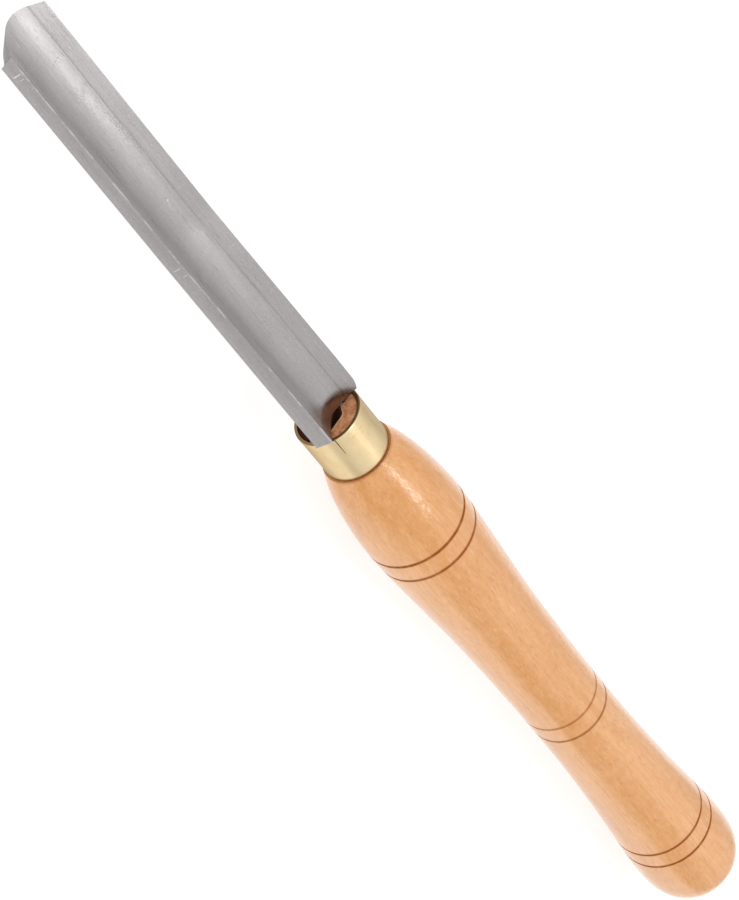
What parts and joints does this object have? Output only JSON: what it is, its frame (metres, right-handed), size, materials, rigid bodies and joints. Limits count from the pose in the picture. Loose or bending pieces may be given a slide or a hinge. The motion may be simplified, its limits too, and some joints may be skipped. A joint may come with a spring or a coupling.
{
  "type": "woodturning gouge",
  "caption": "Long-handled turning gouge: shallow forged steel flute with a tang, plain brass ferrule and a turned, waisted wooden handle with burnt rings.",
  "frame": {"origin": "under the middle of the tool's length, on its centre line, at the height of the lowest point of the handle's butt swell", "axes": "+X along the handle's axis towards the cutting edge, +Z out of the open side of the flute, +Y to the left when looking along +X"},
  "size_m": [0.475, 0.0386, 0.0387],
  "materials": {
    "tool_steel": "ground lengthways, fine scratches, satin",
    "ferrule_brass": "pale satin brass tube",
    "lacquered_beech": "clear lacquer over turned beech, with dark burnt rings"
  },
  "bodies": {
    "root": {"blade": "tool_steel", "ferrule": "ferrule_brass", "handle": "lacquered_beech"}
  },
  "joints": []
}
